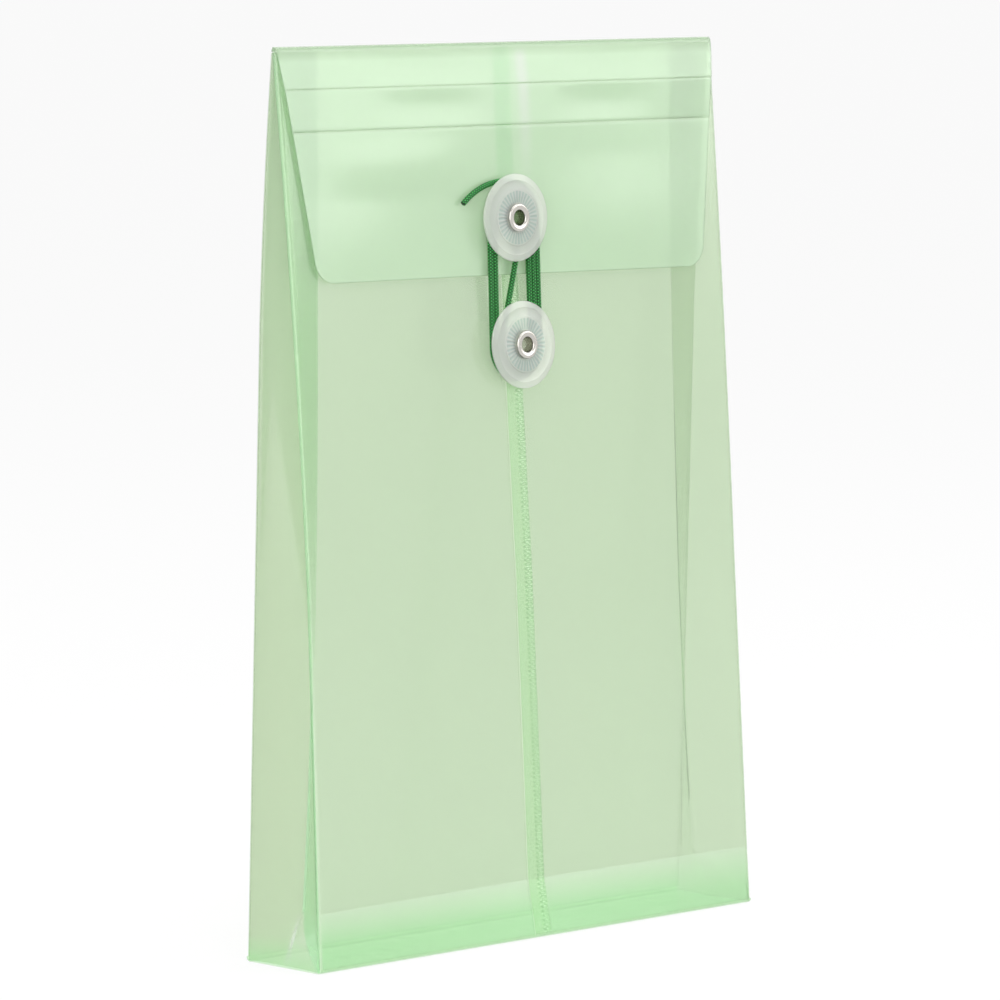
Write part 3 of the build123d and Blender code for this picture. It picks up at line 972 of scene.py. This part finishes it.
def flapTone(share, row):
    f, (angle, depth) = flapSet, row
    toScore = min(abs(depth - f["firstScore"]), abs(depth - f["secondScore"]))
    # painted shade along the flap's cut edges
    if abs(share) == 1 or depth > f["depth"] - f["edgeBand"]:
        return f["paintedEdgeTone"]
    # painted highlight down from the top
    aside = (share * flapHalf(depth) - f["highlightAt"]) / f["highlightHalf"]
    tone = mixTone(f["creaseHighlightTone"], bell(aside) * bell(depth / f["highlightEnd"]), f["tone"])
    # painted shade just under the top fold
    tone = mixTone(f["topShadeTone"], (f["topBand"] - depth) / f["topBand"] * f["topStrength"], tone)
    # painted shade along the score grooves
    return mixTone(f["scoreShadeTone"], 1 - toScore / f["scoreLine"], tone)


def flapHalf(depth):
    f = flapSet
    half = halfWidth + (f["tipWidth"] / 2 - halfWidth) * depth / f["depth"]
    into = max(0, depth - f["depth"] + f["cornerRadius"])
    return half - f["cornerRadius"] + sqrt(f["cornerRadius"] ** 2 - into ** 2)


def flapPlace(share, row):
    angle, depth = row
    x = share * flapHalf(depth)
    second = flapSet["secondScore"]
    if depth > second:
        depth -= flapSet["tipLeftRise"] * (1 - share) / 2 * (depth - second) / (flapSet["depth"] - second)
    # the fold closes at its ends
    pinch = edgeRoll(x)
    if angle is not None:
        reach = p["foldRadius"]
        return x, topY + (reach - pinch) * cos(angle), foldHeight + reach * sin(angle)
    pinch *= max(0, 1 - depth / flapSet["firstScore"])
    return x, topY - flapReach(x, depth) - flapRelief(x, depth) + pinch, faceHeight - depth


def faceRows(start, end, count):
    return [(None, depth) for depth in steps(start, end, count)]


shares = [-1, -0.997, -0.993] + steps(-0.985, 0.985, 160) + [0.993, 0.997, 1]
gap = flapSet["scoreGap"]
first, second, depth = flapSet["firstScore"], flapSet["secondScore"], flapSet["depth"]
foldRows = [(radians(a), 0) for a in steps(0, 180, 12)]
topRows = foldRows + faceRows(flapStart, first - gap, 22)
flapTop = filmSheet("flapTop", shares, topRows[::-1], flapPlace, flapTone)
settle(flapTop, "flap_top", "film", "top_fold", "flap_top_strip")
flapMiddle = filmSheet("flapMiddle", shares, faceRows(second - gap, first + gap, 24), flapPlace, flapTone)
settle(flapMiddle, "flap_middle", "film", "flap_middle_strip")
cornerStart = depth - flapSet["cornerRadius"]
cornerRows = [(None, cornerStart + flapSet["cornerRadius"] * sin(radians(a))) for a in steps(0, 90, 12)]
panelRows = faceRows(second + gap, cornerStart, 60) + cornerRows[1:]
flapPanel = filmSheet("flapPanel", shares, panelRows[::-1], flapPlace, flapTone)
punchHole(flapPanel, "upper")
settle(flapPanel, "flap_front", "film", "flap_panel")
print("flap made")


# buttons: moulded discs, rolled eyelets and the washers behind the film
buttonSet = {
    "steps": 144,
    "bore": 2.5,
    "hubRadius": 3.6,
    "hubFoot": 0.1,
    "hubHeight": 3.0,
    "discRadius": 11.5,
    "ribInner": 4.1,
    "ribOuter": 6.9,
    "ribHeight": 0.08,
    "ribShades": (1.0, 0.3),  # painted shade, between the ribs and on them
    "flangeRadius": 3.7,
    "flangeFoot": 4.05,
    "flangeHeight": 0.8,
    "tubeOutside": 2.4,
    "tubeInside": 2.0,
    "washerRadius": 5.0,
    "washerGap": 0.1,
    "washerThickness": 0.3,
    "clinchGap": 0.05,
    "smoothAngle": 30.0,
}


def discOutline(b):
    # radius and height above the seat, from the bore outwards and back over the top
    r, h = b["discRadius"], b["hubHeight"]
    return [
        (b["bore"], b["hubFoot"]), (b["hubRadius"], b["hubFoot"]), (b["hubRadius"], h - 0.3),
        (b["hubRadius"] + 0.3, h), (7.0, h - 0.12), (r - 0.35, h - 0.3), (r - 0.1, h - 0.2),
        (r, h + 0.05), (r - 0.08, h + 0.32), (r - 0.35, h + 0.45), (9.95, h + 0.58),
        (9.8, h + 0.66), (9.6, h + 0.62), (7.75, h + 0.76), (7.45, h + 0.84), (7.3, h + 0.98),
        (7.1, h + 1.0), (b["ribOuter"], h + 0.98), (6.2, h + 0.97), (5.2, h + 0.97),
        (b["ribInner"], h + 0.98), (3.9, h + 1.0), (b["bore"] + 0.1, h + 1.0), (b["bore"], h + 0.9),
    ]


def eyeletOutline(b, layers):
    foot = -layers - b["washerGap"] - b["washerThickness"] - b["clinchGap"]
    roll = b["flangeHeight"] / 2
    middle = b["flangeRadius"] - roll
    rim = []
    for a in steps(-90, 90, 10):
        rim.append((middle + roll * cos(radians(a)), b["flangeFoot"] + roll + roll * sin(radians(a))))
    lip = b["flangeFoot"] + b["flangeHeight"]
    inner = []
    for a in steps(0, 90, 5)[1:]:
        inner.append((b["tubeInside"] + roll * (1 - sin(radians(a))), lip - roll * (1 - cos(radians(a)))))
    return [
        (b["tubeInside"], foot - 0.25), (2.3, foot - 0.3), (3.3, foot - 0.3), (3.5, foot - 0.15), (3.3, foot),
        (b["tubeOutside"], foot), (b["tubeOutside"], b["flangeFoot"]), *rim, *inner,
    ]


def washerOutline(b, layers):
    top = -layers - b["washerGap"]
    foot = top - b["washerThickness"]
    r = b["washerRadius"]
    return [
        (b["bore"], foot), (r - 0.1, foot), (r, foot + 0.1),
        (r, top - 0.1), (r - 0.1, top), (b["bore"], top),
    ]


def turned(name, outline):
    bpy.ops.object.select_all(action="DESELECT")
    bpy.ops.mesh.primitive_circle_add(vertices=len(outline), radius=1)
    piece = bpy.context.object
    piece.name = name
    for v, (r, h) in zip(piece.data.vertices, outline):
        v.co = (r, 0, h)
    bpy.ops.object.mode_set(mode="EDIT")
    bpy.ops.mesh.select_all(action="SELECT")
    bpy.ops.mesh.spin(steps=buttonSet["steps"], angle=2 * pi, center=(0, 0, 0), axis=(0, 0, 1))
    bpy.ops.mesh.select_all(action="SELECT")
    bpy.ops.mesh.remove_doubles(threshold=0.0005)
    bpy.ops.mesh.normals_make_consistent(inside=False)
    bpy.ops.object.mode_set(mode="OBJECT")
    return piece


def seatPiece(piece, seat, material):
    spot, axis = seats[seat]
    across = Vector((1, 0, 0))
    turn = Matrix((across, axis.cross(across), axis)).transposed().to_4x4()
    piece.data.transform(Matrix.Translation(spot) @ turn @ Matrix.Scale(mm, 4))
    bpy.ops.object.shade_smooth_by_angle(angle=radians(buttonSet["smoothAngle"]))
    piece.data.materials.append(material)
    return piece


def raiseRibs(disc, b):
    # fine radial ribs round the eyelet
    each = 2 * pi / b["steps"]
    shades = [0.0] * len(disc.data.vertices)
    for v in disc.data.vertices:
        radius = sqrt(v.co.x ** 2 + v.co.y ** 2)
        onTop = v.co.z > b["hubHeight"] + 0.9
        if onTop and b["ribInner"] - 0.01 < radius < b["ribOuter"] + 0.01:
            raised = round(atan2(v.co.y, v.co.x) / each) // 2 % 2
            v.co.z += b["ribHeight"] * raised
            # painted shade, deepest between the ribs
            shades[v.index] = b["ribShades"][raised]
    disc.data.attributes.new("rib", "FLOAT", "POINT").data.foreach_set("value", shades)


filmLayers = {"upper": p["thickness"], "lower": p["thickness"] + p["seamLift"]}
carriers = {"upper": "flap_front", "lower": "pocket"}
for seat, layers in filmLayers.items():
    disc = turned(seat + "Disc", discOutline(buttonSet))
    raiseRibs(disc, buttonSet)
    settle(seatPiece(disc, seat, discMaterial), seat + "_button", "disc", seat + "_disc")
    eyelet = turned(seat + "Eyelet", eyeletOutline(buttonSet, layers))
    settle(seatPiece(eyelet, seat, eyeletMaterial), carriers[seat], "eyelet", seat + "_eyelet")
    washer = turned(seat + "Washer", washerOutline(buttonSet, layers))
    settle(seatPiece(washer, seat, discMaterial), carriers[seat], "washer", seat + "_washer")
print("buttons made")
